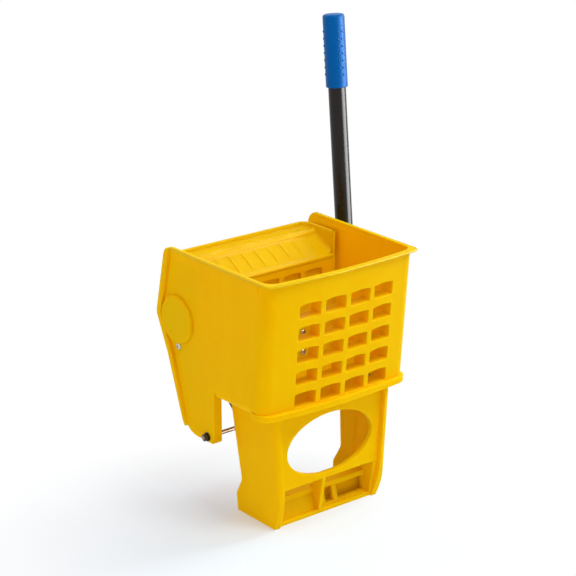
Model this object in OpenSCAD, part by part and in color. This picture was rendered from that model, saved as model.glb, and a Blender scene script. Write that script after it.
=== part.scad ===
// Side press mop wringer: a basket on a stand, with a press plate that a lever drives through gears.
// X runs to the right, Y to the back and Z up. The origin is under the middle of the stand's crossbar.

/* [Basket] */
// Width over the side walls
basket_w = 254; // [240:1:264]
// Height of the rim
rim_z = 367; // [362:1:374]
// Front of the rim, ahead of the crossbar
front_reach = 52; // [46:1:60]
// Backward lean of the front wall, in degrees
front_lean = 4.8; // [4:0.1:5.6]
// Outward bow of the front wall across its width
front_bow = 6; // [4:0.5:8]
// Thickness of the front wall
front_t = 10; // [7:0.5:11]
// Thickness of the side walls
side_t = 3.5; // [3:0.25:4.5]
// Thickness of the front wall at the rim
rim_t = 3.5; // [3:0.25:5]
// Height of the thinner strip of the front wall under the rim
rim_strip = 12; // [8:0.5:14]
// Plan radius of the front corners
corner_r = 20; // [18:1:24]
// Plan radius of the rim's corners
rim_r = 8; // [6:0.5:10]
// Upper face of the basket's floor
floor_z = 180; // [178:0.5:182]
// Thickness of the basket's floor
floor_t = 8; // [5:0.5:9]
// Width of the rail under the floor's rear edge, which rests on a bucket's rim
seat_w = 200; // [180:1:206]
// Height of that rail
seat_h = 1; // [0.75:0.25:1.5]
// Radius under the side walls, where they turn into the floor
pan_r = 16; // [12:0.5:17]
// Overhang of the lip round the rim
rim_lip = 2; // [1.75:0.25:3]
// Height of the lip round the rim
rim_h = 4; // [3:0.5:6]
// Height of the flared band along the top of a side wall
flare_h = 14; // [10:1:18]
// Outward set of the flared band
flare_out = 1.5; // [1:0.25:1.5]
// Overhang of the lip along the foot of the front wall
base_lip = 7; // [5:0.5:8]
// Height of the lip along the foot of the front wall
base_lip_h = 8.5; // [6:0.5:9.5]

/* [Windows] */
// Depth of the windows, where the front wall is thickened behind them
window_depth = 22; // [14:0.5:23]
// Margin of that thickening round the windows
window_margin = 10; // [4:0.5:11]
// Width of a window in the front wall
window_w = 35; // [30:0.5:37]
// Height of a window at its sides
window_h = 19; // [15:0.5:20]
// Rise of a window's arched top
window_rise = 1.75; // [1:0.25:3]
// Spacing of the window columns
window_pitch_x = 42.4; // [40:0.2:44]
// Spacing of the window rows
window_pitch_z = 32; // [28:0.5:33]
// Columns of windows in the front wall
window_columns = 4; // [3:1:4]
// Rows of windows in the front wall
window_rows = 5; // [3:1:5]
// Sill of the lowest row, above the floor's upper face
window_sill = 2; // [1.5:0.5:6]
// Sideways set of the window field
window_shift = 5.5; // [0:0.5:8]
// Length of a drain slot in the floor
drain_l = 22; // [14:1:26]
// Width of a drain slot in the floor
drain_w = 7; // [4:0.5:9]
// Spacing of the drain slots
drain_pitch = 30; // [28:1:31]

/* [Wings] */
// Rear top corner of a side wall, behind the axle
rear_top = 23; // [18:1:28]
// Rearmost point of a wing, behind the axle
wing_reach = 45; // [42:0.5:50]
// Height of the wing's waist
waist_z = 213; // [206:1:220]
// Wing's rear edge at its waist, behind the axle
waist_reach = 20; // [16:1:24]
// Rear foot of a wing, behind the tie rod
wing_foot = 45; // [38:1:50]
// Wing below the tie rod's axis
wing_drop = 7; // [6.5:0.25:10]
// Front edge of a wing, ahead of the tie rod's axis
wing_front = 15; // [14:0.5:16]
// Width of the raised flange along a wing's rear edge
flange_w = 9; // [6:0.5:11]
// Height of the raised flange and of the lip at the slot
flange_h = 5; // [3:0.5:6]
// Inward turn of a wing's front edge
return_w = 10; // [6:0.5:12]
// Radius of the round bulge over the axle's end
boss_r = 34; // [31:0.5:36]
// Height of the round bulge
boss_h = 5.5; // [5:0.25:7]
// Wall of the round bulge
boss_wall = 4; // [3:0.25:4.5]

/* [Stand] */
// Width over the stand's feet
foot_w = 182; // [178:1:188]
// Width over the stand's top
stand_w = 204; // [200:1:210]
// Thickness of the legs
leg_t = 9; // [8:0.25:10]
// Thickening of the rear part of a leg
leg_step = 1.5; // [1:0.25:3]
// Radius of a leg's front corner
leg_corner_r = 7; // [5:0.5:8]
// Front edge of the legs, ahead of the crossbar
leg_front = 27; // [24:0.5:29]
// Height at which the front edge starts to curve back
leg_curve_z = 70; // [60:1:80]
// Radius of that curve
leg_curve_r = 170; // [150:1:200]
// Rear edge of a leg under the floor
leg_rear_top = 72; // [70:0.5:73]
// Rear edge of a leg at its waist
leg_waist = 57; // [52:1:60]
// Height of a leg's waist
leg_waist_z = 58; // [52:1:64]
// Heel of a leg
leg_heel = 71.5; // [67:0.5:73]
// Height of a leg's heel
leg_heel_z = 26; // [22:1:30]
// Front panel's face, ahead of the crossbar
panel_front = 19; // [17:0.5:21]
// Thickness of the front panel
panel_t = 7; // [5:0.25:8]
// Lower edge of the front panel
panel_z = 57; // [54:0.5:60]
// Width of the oval hole
oval_w = 151; // [140:1:156]
// Height of the oval hole
oval_h = 88; // [80:1:92]
// Centre of the oval hole
oval_z = 108; // [106:0.5:110]
// Thickness of the crossbar's plates
bar_t = 7; // [5:0.25:8]
// Height of the crossbar
bar_h = 36; // [32:0.5:40]
// Foot of the crossbar's front plate, ahead of the origin
bar_front = 3; // [2:0.25:4]
// Backward lean of the crossbar's front plate over its height
bar_lean = 10; // [6:0.5:12]
// Overhang of the crossbar's shelf, ahead of the top of the front plate
shelf_nose = 5; // [3:0.5:7]
// Rear face of the crossbar's rear plate, behind the origin
box_back = 20; // [18:0.5:20]
// Reach of the crossbar's ribs, ahead of the foot of the front plate
rib_reach = 6; // [3:0.5:8]
// Height of the lip along the crossbar's foot, as far ahead as the ribs reach
foot_lip_h = 5; // [3.5:0.25:6]
// Rear edge of the crossbar's shelf, behind the origin
shelf_back = 36; // [32:0.5:40]
// Width of the gap in the shelf's rear edge
shelf_gap = 20; // [14:0.5:24]
// Depth of the gap in the shelf's rear edge
shelf_gap_d = 15.5; // [10:0.5:15.5]
// Place of the middle rib on the crossbar, left of the centre
mid_rib_x = 10; // [6:1:14]
// Thickness of the ribs on the crossbar
rib_t = 5; // [4:0.25:6]
// Place of the upright between the crossbar's two windows, right of the centre
upright_x = 26; // [25:0.5:28]
// Width of that upright
upright_w = 8; // [6:0.5:9]
// Width of the crossbar's left window
left_window_w = 14; // [12:0.5:16]
// Width of the crossbar's right window
right_window_w = 48; // [40:0.5:49]
// Thickness of the stand's top plate
top_t = 6; // [5:0.25:7]
// Width of the opening in the stand's top plate
top_gap_w = 150; // [130:1:154]
// Radius of a screw boss under the stand's top plate
screw_boss_r = 7; // [6:0.25:8]
// Length of a screw boss under the stand's top plate
screw_boss_h = 15; // [12:0.5:18]

/* [Axle and lever] */
// Height of the axle
axle_z = 266.5; // [264:0.5:269]
// Axle behind the crossbar
axle_y = 154; // [152:0.5:156]
// Diameter of the axle
axle_d = 14; // [12:0.5:16]
// Bore of the hollow axle
axle_bore = 10.5; // [8:0.5:11]
// Length of a bush's barrel inside the wall
bush_l = 9; // [8:0.5:12]
// Diameter of a bush's barrel
bush_d = 26; // [22:0.5:30]
// Thickness of a bush's ear
ear_t = 4; // [3:0.25:5]
// Screw of the bush's ear, below the axle
ear_drop = 39.5; // [39:0.5:42]
// Thickness of the thrust washers
washer_t = 1.5; // [1:0.1:2]
// Diameter of the thrust washers
washer_d = 24; // [20:0.5:25]
// Thickness of a circlip
clip_t = 1.2; // [1:0.1:1.5]
// Depth of a circlip's groove
groove_d = 0.8; // [0.5:0.1:1]
// Lean of the lever at rest, in degrees
lever_lean = 5.2; // [4:0.1:6.5]
// Lever's place to the right of the centre
lever_x = 175; // [170:0.5:180]
// Axle to the top of the grip
lever_l = 380; // [350:1:390]
// Diameter of the lever tube
tube_d = 25.4; // [22:0.2:28]
// Wall of the lever tube
tube_wall = 1.1; // [1:0.1:2]
// Foot of the tube above the axle
tube_foot = 24; // [20:0.5:28]
// Wall of the lever hub round the tube and the axle
hub_wall = 4; // [3.5:0.25:5]
// Top of the hub's socket above the axle
socket_top = 66; // [60:1:72]
// Cross bolt above the axle
bolt_up = 46; // [42:1:50]
// Diameter of the cross bolt
bolt_d = 6; // [5:0.5:7]
// Length of the grip
grip_l = 104; // [90:1:106]
// Wall of the grip
grip_wall = 3.05; // [2.5:0.05:3.5]
// Diameter of the pins through the axle
pin_d = 4; // [3:0.25:5]

/* [Gear drive] */
// Teeth on a drive gear
drive_teeth = 12; // [12:1:13]
// Teeth on the full circle of a sector
sector_teeth = 54; // [54:1:56]
// Pressure angle, in degrees
pressure_angle = 25; // [24:0.5:26]
// Play between the teeth
tooth_play = 0.4; // [0.3:0.05:0.6]
// Width of a drive gear
gear_w = 9.5; // [8.5:0.5:11]
// Width of a sector
sector_w = 7; // [6.5:0.5:8.5]
// Diameter of a drive gear's hub
gear_hub_d = 22; // [20:0.5:26]
// Length of a drive gear's hub
gear_hub_l = 10; // [8:0.5:12]
// Depth of a sector's rim under its teeth
sector_rim = 9; // [8:0.5:12]
// Width of a sector's bars
sector_bar = 12; // [10:0.5:14]

/* [Press plate] */
// Height of the tie rod
rod_z = 113; // [112:0.5:115]
// Tie rod behind the crossbar
rod_y = 91; // [90:0.5:92]
// Diameter of the tie rod
rod_d = 6; // [5:0.25:7]
// Face of the press plate, behind the tie rod
plate_back_set = 20; // [18:0.5:21]
// Thickness of the press plate
plate_t = 3; // [2.75:0.25:4]
// Gap from the press plate to each side wall
plate_side_gap = 7.5; // [5:0.5:10]
// Lower edge of the press plate, below the floor's upper face
plate_drop = 15; // [13:0.5:17]
// Height of the ledge under the funnel
ledge_z = 321; // [317:0.5:323]
// Height of the funnel's rim above that ledge
funnel_h = 33; // [30:0.5:36]
// Depth of the funnel behind the plate's face
funnel_d = 67; // [62:0.5:70]
// Plan radius of the funnel's rear corners
funnel_r = 16; // [12:0.5:20]
// Wall of the funnel
funnel_t = 3; // [2.75:0.25:4]
// Radius of the bead across the funnel
bead_r = 4; // [3:0.25:5]
// Spacing of the flutes on the funnel
flute_pitch = 22.6; // [20:0.2:24]
// Radius of a flute
flute_r = 1.6; // [1:0.1:2]
// Width of a window in the press plate
press_window_w = 31; // [26:0.5:32]
// Spacing of the window columns in the press plate
press_pitch = 38.8; // [37:0.1:39]
// Top of the row of blind windows in the press plate, below the ledge
press_window_drop = 14; // [12:0.5:15]
// Depth of the blind windows in the press plate
press_window_d = 6; // [4:0.25:6.5]
// Back of the blind windows in the press plate
press_window_t = 2; // [1.5:0.25:2.5]
// Spacing of the two screws in a pad that the sectors hold the plate by
pad_pitch = 30; // [24:0.5:34]
// Lower screw above the foot of its pad
pad_screw = 24; // [20:0.5:26]
// Diameter of a pivot bush
pivot_bush_d = 12; // [10:0.5:13]
// Diameter of a sector's hub
sector_hub_d = 20; // [18:0.5:21]
// Length of a sector's hub
sector_hub_l = 16; // [14:0.5:18]

/* [Return springs] */
// Diameter of the spring wire
wire_d = 2.2; // [1.6:0.1:2.4]
// Mean diameter of the coil
coil_d = 16; // [14:0.5:18]
// Advance of the coil for each turn
coil_pitch = 3; // [2.9:0.1:3.4]
// Whole turns of the coil
coil_turns = 5; // [3:1:6]
// Length of the arm that lies on the sector
spring_arm = 46; // [40:1:50]
// Diameter of the peg that the arm lies on
peg_d = 6; // [5:0.25:7]

/* [Fasteners and fits] */
// Diameter of the screws
screw_d = 5; // [4:0.25:5.5]
// Diameter of the screw heads
head_d = 10; // [8.5:0.25:11]
// Height of the screw heads
head_h = 2.8; // [2:0.1:3.5]
// Width of the nuts across their flats, as a share of the thread
nut_flats = 1.65; // [1.5:0.05:1.75]
// Height of the nuts, as a share of the thread
nut_share = 0.8; // [0.7:0.05:0.9]
// Diameter of the screws that hold the sectors
small_screw_d = 4; // [3:0.25:4.5]
// Length of the screws that hold the sectors
small_screw_l = 18; // [14:0.5:20]
// Radial clearance of a running fit
running = 0.05; // [0.03:0.01:0.08]
// Radial clearance of a fixed fit
fixed_fit = 0.03; // [0.02:0.01:0.05]
// Gap between pieces that only lie beside each other
gap = 0.3; // [0.2:0.05:0.4]

/* [Hidden] */
$fn = 64;
big = rim_z + lever_l + basket_w;

wall_out = basket_w / 2;
wall_in = wall_out - side_t;
boss_face = wall_out + boss_h;
pocket_face = boss_face - boss_wall;
floor_under = floor_z - floor_t;
floor_back = rod_y - wing_front;
front_foot_y = (rim_z - floor_under) * tan(front_lean) - front_reach;
plan_back = front_reach + rod_y;
ring_back = front_foot_y + corner_r + 10;
drift = side_t / 4;

bush_end = wall_in - bush_l;
axle_left = pocket_face - gap;
hub_inner = boss_face + washer_t + 2 * gap;
hub_r = tube_d / 2 + hub_wall;
hub_outer = lever_x + hub_r;
hub_boss_r = axle_d / 2 + hub_wall + 2;
axle_right = hub_outer - hub_wall - gap;
bolt_seat = hub_r + 2;

centre_distance = norm([rod_y - axle_y, rod_z - axle_z]);
gear_module = 2 * centre_distance / (drive_teeth + sector_teeth);
mesh_angle = atan2(axle_z - rod_z, axle_y - rod_y);
sector_step = 360 / sector_teeth;
sector_first = -4;
sector_last = 1;
sector_root_r = gear_module * (sector_teeth / 2 - 1.25);

plate_y = rod_y + plate_back_set;
plate_half = wall_in - plate_side_gap;
plate_low = floor_z - plate_drop;
funnel_z = ledge_z + funnel_h;
funnel_back = plate_y + funnel_d;
arm_x = 1.5 * press_pitch;
plate_rear = plate_back_set + plate_t;
pad_low = plate_low - rod_z - 2;
pad_high = sector_root_r - sector_rim;
sector_screw_rise = [pad_low + pad_screw, pad_low + pad_screw + pad_pitch];

arm_angle = atan2(0.8 * pad_high, plate_rear + sector_bar / 2);
coil_end_angle = arm_angle - 90 + 360 * coil_turns;
coil_start = arm_x - sector_hub_l / 2 - 3;
coil_inner = coil_start - coil_pitch * (coil_end_angle - 180) / 360;
spring_foot = floor_back + wire_d / 2 + gap;

function unit(v) = v / norm(v);
function arc(c, r, a, b, n) = [for (i = [0:n]) let (t = a + (b - a) * i / n) c + r * [cos(t), sin(t)]];

// One rounded corner of an outline: p before it, q at it, s after it, with radius r
function fillet(p, q, s, r) =
    let (u = unit(p - q))
    let (v = unit(s - q))
    let (half = acos(u * v) / 2)
    let (c = q + unit(u + v) * r / sin(half))
    let (a = q + u * r / tan(half) - c)
    let (b = q + v * r / tan(half) - c)
    let (start = atan2(a[1], a[0]))
    let (sweep = (atan2(b[1], b[0]) - start + 540) % 360 - 180)
    arc(c, r, start, start + sweep, max(3, ceil(abs(sweep) / 9)));

// Outline from points [x, y, radius], each corner rounded by its own radius
function flat(p) = [p[0], p[1]];
function rounded(pts) = [for (i = [0:len(pts) - 1])
    let (p = flat(pts[(i + len(pts) - 1) % len(pts)]))
    let (q = flat(pts[i]))
    let (s = flat(pts[(i + 1) % len(pts)]))
    each (pts[i][2] > 0 ? fillet(p, q, s, pts[i][2]) : [q])];

// Plan of the front wall with its corners: half width w, front at y and corner radius r.
// Behind the corners the sides drift outwards by drift, so that they cross the side walls' faces.
function plan(w, y, r, drift) =
    let (c = w - r)
    let (bow_r = (c * c + front_bow * front_bow) / (2 * front_bow))
    let (corner_y = y + bow_r - sqrt((bow_r - r) * (bow_r - r) - c * c))
    let (t = atan2(corner_y - y - bow_r, c))
    let (sweep = -180 - 2 * t)
    concat([[w + drift, plan_back]],
        arc([c, corner_y], r, 0, t, 12),
        [for (i = [1:23]) [0, y + bow_r] + bow_r * [cos(t + sweep * i / 24), sin(t + sweep * i / 24)]],
        arc([-c, corner_y], r, t + sweep, -180, 12),
        [[-w - drift, plan_back]]);
function reversed(list) = [for (i = [len(list) - 1:-1:0]) list[i]];

// Window outline with its sill at the origin, a width w, and an arched top
function window(w) =
    let (r = (w * w / 4 + window_rise * window_rise) / (2 * window_rise))
    let (a = asin(w / 2 / r))
    let (sill = rounded([[-w / 2, window_h, 0], [-w / 2, 0, 2.5], [w / 2, 0, 2.5], [w / 2, window_h, 0]]))
    let (top = [0, window_h + window_rise - r])
    concat(sill, [for (i = [1:9]) top + r * [sin(a - a * i / 5), cos(a - a * i / 5)]]);

// Rotation from the middle of a tooth to its flank at radius r, for a gear of z teeth
function involute(r, base) = let (p = acos(min(1, base / r))) tan(p) * 180 / PI - p;
function flank(r, z) =
    let (pitch_r = gear_module * z / 2)
    let (base = pitch_r * cos(pressure_angle))
    90 / z - tooth_play / 4 / pitch_r * 180 / PI + involute(pitch_r, base) - involute(max(r, base), base);

// One tooth of a gear of z teeth, pointing along angle a
function tooth(z, a) =
    let (root = gear_module * (z / 2 - 1.25))
    let (tip = gear_module * (z / 2 + 1))
    let (base = max(root + 0.1, gear_module * z / 2 * cos(pressure_angle)))
    let (radii = concat([root], [for (i = [0:8]) base + (tip - base) * i / 8]))
    concat([for (r = radii) r * [cos(a - flank(r, z)), sin(a - flank(r, z))]],
        [for (r = reversed(radii)) r * [cos(a + flank(r, z)), sin(a + flank(r, z))]]);

module both_sides() {
    children();
    mirror([1, 0, 0]) children();
}

// An outline in Y and Z, from one X to another
module across(x0, x1) {
    translate([x0, 0, 0]) rotate([90, 0, 90]) linear_extrude(x1 - x0) children();
}

// An outline in X and Z, from one Y to another
module along(y0, y1) {
    translate([0, y1, 0]) rotate([90, 0, 0]) linear_extrude(y1 - y0) children();
}

module bar_x(x0, x1, r) {
    translate([x0, 0, 0]) rotate([0, 90, 0]) cylinder(h = x1 - x0, r = r);
}

module bar_y(y0, y1, r) {
    translate([0, y1, 0]) rotate([90, 0, 0]) cylinder(h = y1 - y0, r = r);
}

module ring_x(x0, x1, r, bore) {
    difference() {
        bar_x(x0, x1, r);
        bar_x(x0 - 1, x1 + 1, bore);
    }
}

module at_axle() {
    translate([0, axle_y, axle_z]) children();
}

module at_rod() {
    translate([0, rod_y, rod_z]) children();
}

// The lever's own frame: origin on the axle, Z along the tube
module at_lever() {
    at_axle() rotate([-lever_lean, 0, 0]) children();
}

// Pan head screw along Z: the head stands on the origin, the shank hangs below
module pan_screw(d, l, head) {
    translate([0, 0, -l]) cylinder(h = l + 1, d = d);
    cylinder(h = head_h * 0.55, d = head);
    translate([0, 0, head_h * 0.55]) cylinder(h = head_h * 0.45, d1 = head, d2 = head * 0.62);
}

// Hexagon nut along Z, standing on the origin
module nut(d) {
    h = d * nut_share;
    difference() {
        cylinder(h = h, r = d * nut_flats / sqrt(3), $fn = 6);
        translate([0, 0, -1]) cylinder(h = h + 2, r = d / 2 + fixed_fit);
    }
}

// Prism of the front wall's plan, leaning as the wall leans
module leaning(points) {
    translate([0, -front_reach, rim_z])
        rotate([front_lean, 0, 0])
            translate([0, 0, -big / 2])
                linear_extrude(big) polygon(points);
}

// Ring of the front wall and corners, grown outwards at the sides and at the front to corner radius r,
// with an inner face that lies at depth behind the front and has the corner radius inner_r
module front_ring(side_grow, front_grow, r, depth, inner_r, z0, z1) {
    outer = plan(wall_out + side_grow, -front_grow, r, -drift);
    inner = plan(wall_in, depth, inner_r, drift);
    intersection() {
        leaning(concat(outer, reversed(inner)));
        translate([-big / 2, -big / 2, z0]) cube([big, big / 2 + ring_back, z1 - z0]);
    }
}

// Section of the tub in X and Z, with its floor turned up into the side walls
module tub_section(w, low, r, high) {
    polygon(rounded([[-w, high, 0], [-w, low, r], [w, low, r], [w, high, 0]]));
}

// Outline of a side wall and its wing, with the rear edge moved back by shift, and by foot_shift at its foot
function rear_edge(shift, foot_shift) = [
    [axle_y + rear_top + shift, rim_z, 15],
    [axle_y + wing_reach + shift, axle_z, 14],
    [axle_y + waist_reach + shift, waist_z, 60],
    [rod_y + wing_foot + foot_shift, rod_z - wing_drop, 30]];
side_low = floor_under + pan_r;
side_outline = concat(
    [[corner_r - front_reach + 8, rim_z, 0]],
    rear_edge(0, 0),
    [[rod_y - wing_front, rod_z - wing_drop, 4],
     [rod_y - wing_front, side_low, 5],
     [corner_r + front_foot_y + 8, side_low, 0]]);

// Right side wall with its wing, bulge, flange and flared top.
// Inside, the flare deepens from the front corner to the rear.
flare_angle = atan(flare_out / (axle_y + rear_top - ring_back));
module side_wall() {
    difference() {
        union() {
            across(wall_in, wall_out) polygon(rounded(side_outline));
            intersection() {
                across(wall_in, wall_out + flange_h) polygon(rounded(side_outline));
                along(-big / 2, big / 2) polygon([
                    [wall_in, rim_z - flare_h - side_t], [wall_out, rim_z - flare_h - side_t],
                    [wall_out + flare_out, rim_z - rim_h], [wall_out + rim_lip, rim_z - rim_h],
                    [wall_out + rim_lip, rim_z], [wall_in, rim_z]]);
            }
            difference() {
                across(wall_out - 1, wall_out + flange_h) polygon(rounded(side_outline));
                across(wall_out - 2, wall_out + flange_h + 1) polygon(rounded(concat(
                    [[-big, rim_z + 50, 0]],
                    [[axle_y + rear_top - flange_w, rim_z + 50, 0]],
                    rear_edge(-flange_w, -flange_w / 4),
                    [[rod_y, -big, 0], [-big, -big, 0]])));
            }
            intersection() {
                across(wall_in - return_w, wall_in + 1) polygon(rounded(side_outline));
                across(0, wall_out) polygon([
                    [floor_back - side_t, 0], [floor_back + side_t, 0],
                    [floor_back + side_t, floor_z], [floor_back - side_t, floor_z]]);
            }
            at_axle() bar_x(wall_out - 1, boss_face - 2, boss_r);
            at_axle() translate([boss_face - 2, 0, 0]) rotate([0, 90, 0])
                cylinder(h = 2, r1 = boss_r, r2 = boss_r - 2);
        }
        translate([wall_in, ring_back, rim_z]) rotate([0, 0, -flare_angle]) along(0, big / 2) polygon([
            [-10, -flare_h], [-flare_out, -flare_h], [0, -rim_h], [0, 1], [-10, 1]]);
        at_axle() bar_x(wall_in - 1, pocket_face, boss_r - boss_wall);
        at_axle() translate([0, 0, -ear_drop]) bar_x(wall_in - 1, boss_face + 1, screw_d / 2 + fixed_fit);
        at_rod() bar_x(wall_in - return_w - 1, boss_face + 1, rod_d / 2 + fixed_fit);
    }
}

// Thickening of the front wall behind its windows, with a sloping top
window_top = floor_z + window_sill + (window_rows - 1) * window_pitch_z + window_h + window_rise;
window_field = window_columns * window_pitch_x / 2;
block_back = front_foot_y + window_depth + 2 * front_bow;
module window_block() {
    intersection() {
        front_ring(0, 0, corner_r, window_depth, corner_r / 2, floor_under, rim_z);
        across(window_shift - window_field - window_margin, window_shift + window_field + window_margin)
            polygon([[-big / 2, floor_under], [block_back, floor_under],
                     [block_back, window_top + window_margin - 20],
                     [-front_reach, window_top + window_margin + 10],
                     [-big / 2, window_top + window_margin + 10]]);
    }
}

module basket() {
    color("gold") difference() {
        union() {
            intersection() {
                union() {
                    front_ring(0, 0, corner_r, front_t, corner_r / 2, floor_under, rim_z - rim_strip);
                    front_ring(0, 0, corner_r, rim_t, corner_r - rim_t, floor_under, rim_z);
                    window_block();
                    intersection() {
                        leaning(plan(wall_out, 0, corner_r, drift));
                        along(-big / 2, floor_back) difference() {
                            tub_section(wall_out, floor_under, pan_r, side_low + 12);
                            tub_section(wall_in, floor_z, pan_r - side_t, big);
                        }
                    }
                }
                along(-big / 2, floor_back) tub_section(wall_out, floor_under, pan_r, rim_z);
            }
            front_ring(0, base_lip, corner_r, front_t, corner_r / 2, floor_under, floor_under + base_lip_h);
            translate([-seat_w / 2, leg_rear_top, floor_under - seat_h])
                cube([seat_w, floor_back - leg_rear_top, floor_t]);
            front_ring(rim_lip, rim_lip, rim_r, rim_t, corner_r - rim_t, rim_z - rim_h, rim_z);
            both_sides() side_wall();
        }
        for (i = [0:window_columns - 1])
            for (k = [0:window_rows - 1])
                translate([window_shift + (i - (window_columns - 1) / 2) * window_pitch_x, 0,
                           floor_z + window_sill + k * window_pitch_z])
                    along(-big / 2, front_foot_y + 2 * corner_r) polygon(window(window_w));
        for (x = [-2:2])
            for (y = [0, 1])
                translate([x * drain_pitch - drain_l / 2, front_foot_y + 50 + y * 30, floor_under - 1])
                    cube([drain_l, drain_w, floor_t + 2]);
        screw_places() translate([0, 0, floor_under - 1])
            cylinder(h = floor_t + 2, d = screw_d + 2 * fixed_fit);
        at_axle() bar_x(pocket_face - 1, boss_face + 1, axle_d / 2 + 4 * gap);
    }
}

// Places of the four screws that hold the basket on the stand
screw_x = stand_w / 2 - leg_t - screw_boss_r - 4;
module screw_places() {
    for (x = [-screw_x, screw_x])
        for (y = [0, leg_rear_top - 2 * screw_boss_r])
            translate([x, y, 0]) children();
}

leg_tilt = atan((stand_w - foot_w) / 2 / floor_under);
leg_outline = concat(
    [[-leg_front, floor_under + 10]],
    arc([leg_curve_r - leg_front, leg_curve_z], leg_curve_r, 180, 180 + asin(leg_curve_z / leg_curve_r), 12),
    rounded([[leg_heel - 1, 0, 0], [leg_heel, leg_heel_z, 10], [leg_waist, leg_waist_z - 6, 14],
             [leg_waist + 2, leg_waist_z + 10, 14], [leg_rear_top, floor_under + 10, 0]]));

// Right leg: an upright wall with a rounded front corner, cut to its outline from the side
module leg() {
    intersection() {
        translate([foot_w / 2, 0, 0]) rotate([0, leg_tilt, 0]) translate([0, 0, -10])
            linear_extrude(floor_under + 30) polygon(concat(
                [[0, big / 2]],
                arc([-leg_corner_r, leg_corner_r - leg_front], leg_corner_r, 0, -90, 10),
                [[-leg_t, -leg_front], [-leg_t, leg_front], [-leg_t - leg_step, leg_front + 4],
                 [-leg_t - leg_step, big / 2]]));
        across(0, big / 2) polygon(leg_outline);
        translate([0, -big / 2, 0]) cube([big / 2, big, floor_under]);
    }
}

// Flat plate between the legs, in X and Z, following their slope
module between_legs(z0, z1) {
    slope = tan(leg_tilt);
    inset = leg_t / 2;
    polygon([[-foot_w / 2 - z0 * slope + inset, z0], [foot_w / 2 + z0 * slope - inset, z0],
             [foot_w / 2 + z1 * slope - inset, z1], [-foot_w / 2 - z1 * slope + inset, z1]]);
}

// Upright rib from the crossbar's front plate up to the front panel, in Y and Z
rib_outline = [[-panel_front, panel_z + 2], [panel_t - panel_front, panel_z + 2], [bar_lean, bar_h],
               [0, 0], [-bar_front - rib_reach, 0]];

// Face of the crossbar in X and Z, with its two windows
module crossbar_face() {
    difference() {
        between_legs(0, bar_h);
        translate([upright_x - upright_w / 2 - left_window_w, bar_t])
            square([left_window_w, bar_h - 2 * bar_t]);
        translate([upright_x + upright_w / 2, bar_t]) square([right_window_w, bar_h - 2 * bar_t]);
    }
}

module stand() {
    color("gold") difference() {
        union() {
            both_sides() leg();
            along(-panel_front, panel_t - panel_front) difference() {
                between_legs(panel_z, floor_under);
                polygon([for (i = [0:59]) [oval_w / 2 * cos(6 * i), oval_z + oval_h / 2 * sin(6 * i)]]);
            }
            translate([-stand_w / 2 + leg_t, -panel_front, floor_under - top_t])
                cube([stand_w - 2 * leg_t, panel_front + leg_rear_top - 1, top_t]);
            intersection() {
                along(-panel_front, shelf_back) crossbar_face();
                across(-stand_w / 2, stand_w / 2) polygon([
                    [-bar_front, 0], [bar_t - bar_front, 0],
                    [bar_t - bar_front + bar_lean, bar_h], [bar_lean - bar_front, bar_h]]);
            }
            difference() {
                union() {
                    along(bar_lean - bar_front - shelf_nose, shelf_back) between_legs(bar_h - bar_t, bar_h);
                    along(box_back - rib_t, box_back) between_legs(0, bar_h);
                }
                translate([rib_t / 2 - mid_rib_x, shelf_back - shelf_gap_d, -1])
                    cube([shelf_gap, shelf_gap_d + 1, bar_h + 2]);
            }
            along(-bar_front - rib_reach, 0) between_legs(0, foot_lip_h);
            translate([-mid_rib_x, 0, 0]) across(-rib_t / 2, rib_t / 2) polygon(rib_outline);
            both_sides() translate([foot_w / 2 - leg_t, 0, 0])
                across(-rib_t / 2, leg_t * 0.75) polygon(rib_outline);
            screw_places() translate([0, 0, floor_under - top_t - screw_boss_h])
                cylinder(h = screw_boss_h + 1, r = screw_boss_r);
        }
        translate([-top_gap_w / 2, front_foot_y + 45, floor_under - top_t - 1])
            cube([top_gap_w, leg_rear_top - front_foot_y - 55, top_t + 2]);
        screw_places() translate([0, 0, floor_under - top_t - screw_boss_h - 1])
            cylinder(h = big, d = screw_d + 2 * fixed_fit);
    }
}

module stand_screws() {
    color("silver") screw_places() translate([0, 0, floor_z])
        pan_screw(screw_d, floor_t + top_t + screw_boss_h - 2, head_d);
}

// Bush in the right wing's bulge, with the ear that its screw holds
module axle_bush() {
    difference() {
        union() {
            at_axle() bar_x(wall_in, pocket_face, boss_r - boss_wall - gap);
            at_axle() bar_x(bush_end, wall_in + 1, bush_d / 2);
            at_axle() across(wall_in - ear_t, wall_in) polygon(rounded([
                [-bush_d / 2, 0, 0], [-screw_d - 3, -ear_drop - screw_d - 3, 5],
                [screw_d + 3, -ear_drop - screw_d - 3, 5], [bush_d / 2, 0, 0]]));
        }
        at_axle() bar_x(bush_end - 1, pocket_face + 1, axle_d / 2 + running);
        at_axle() translate([0, 0, -ear_drop]) bar_x(bush_end - 1, wall_in + 1, screw_d / 2 + fixed_fit);
    }
}

module left_axle_bush() {
    color("dimgray") mirror([1, 0, 0]) axle_bush();
}

module right_axle_bush() {
    color("dimgray") axle_bush();
}

module bush_screws() {
    color("silver") both_sides() at_axle() translate([wall_out, 0, -ear_drop]) rotate([0, 90, 0])
        pan_screw(screw_d, side_t + ear_t + screw_d, head_d);
}

module bush_nuts() {
    color("silver") both_sides() at_axle() translate([wall_in - ear_t, 0, -ear_drop]) rotate([0, -90, 0])
        nut(screw_d);
}

rod_washer_d = 2 * wing_drop - 1;
rod_end = wall_out + washer_t + rod_d;
module tie_rod() {
    color("lightgray") at_rod() bar_x(-rod_end, rod_end, rod_d / 2);
}

module tie_rod_washers() {
    color("silver") both_sides() at_rod()
        ring_x(wall_out, wall_out + washer_t, rod_washer_d / 2, rod_d / 2 + fixed_fit);
}

module tie_rod_nuts() {
    color("silver") both_sides() at_rod() translate([wall_out + washer_t, 0, 0]) rotate([0, 90, 0])
        nut(rod_d);
}

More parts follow.
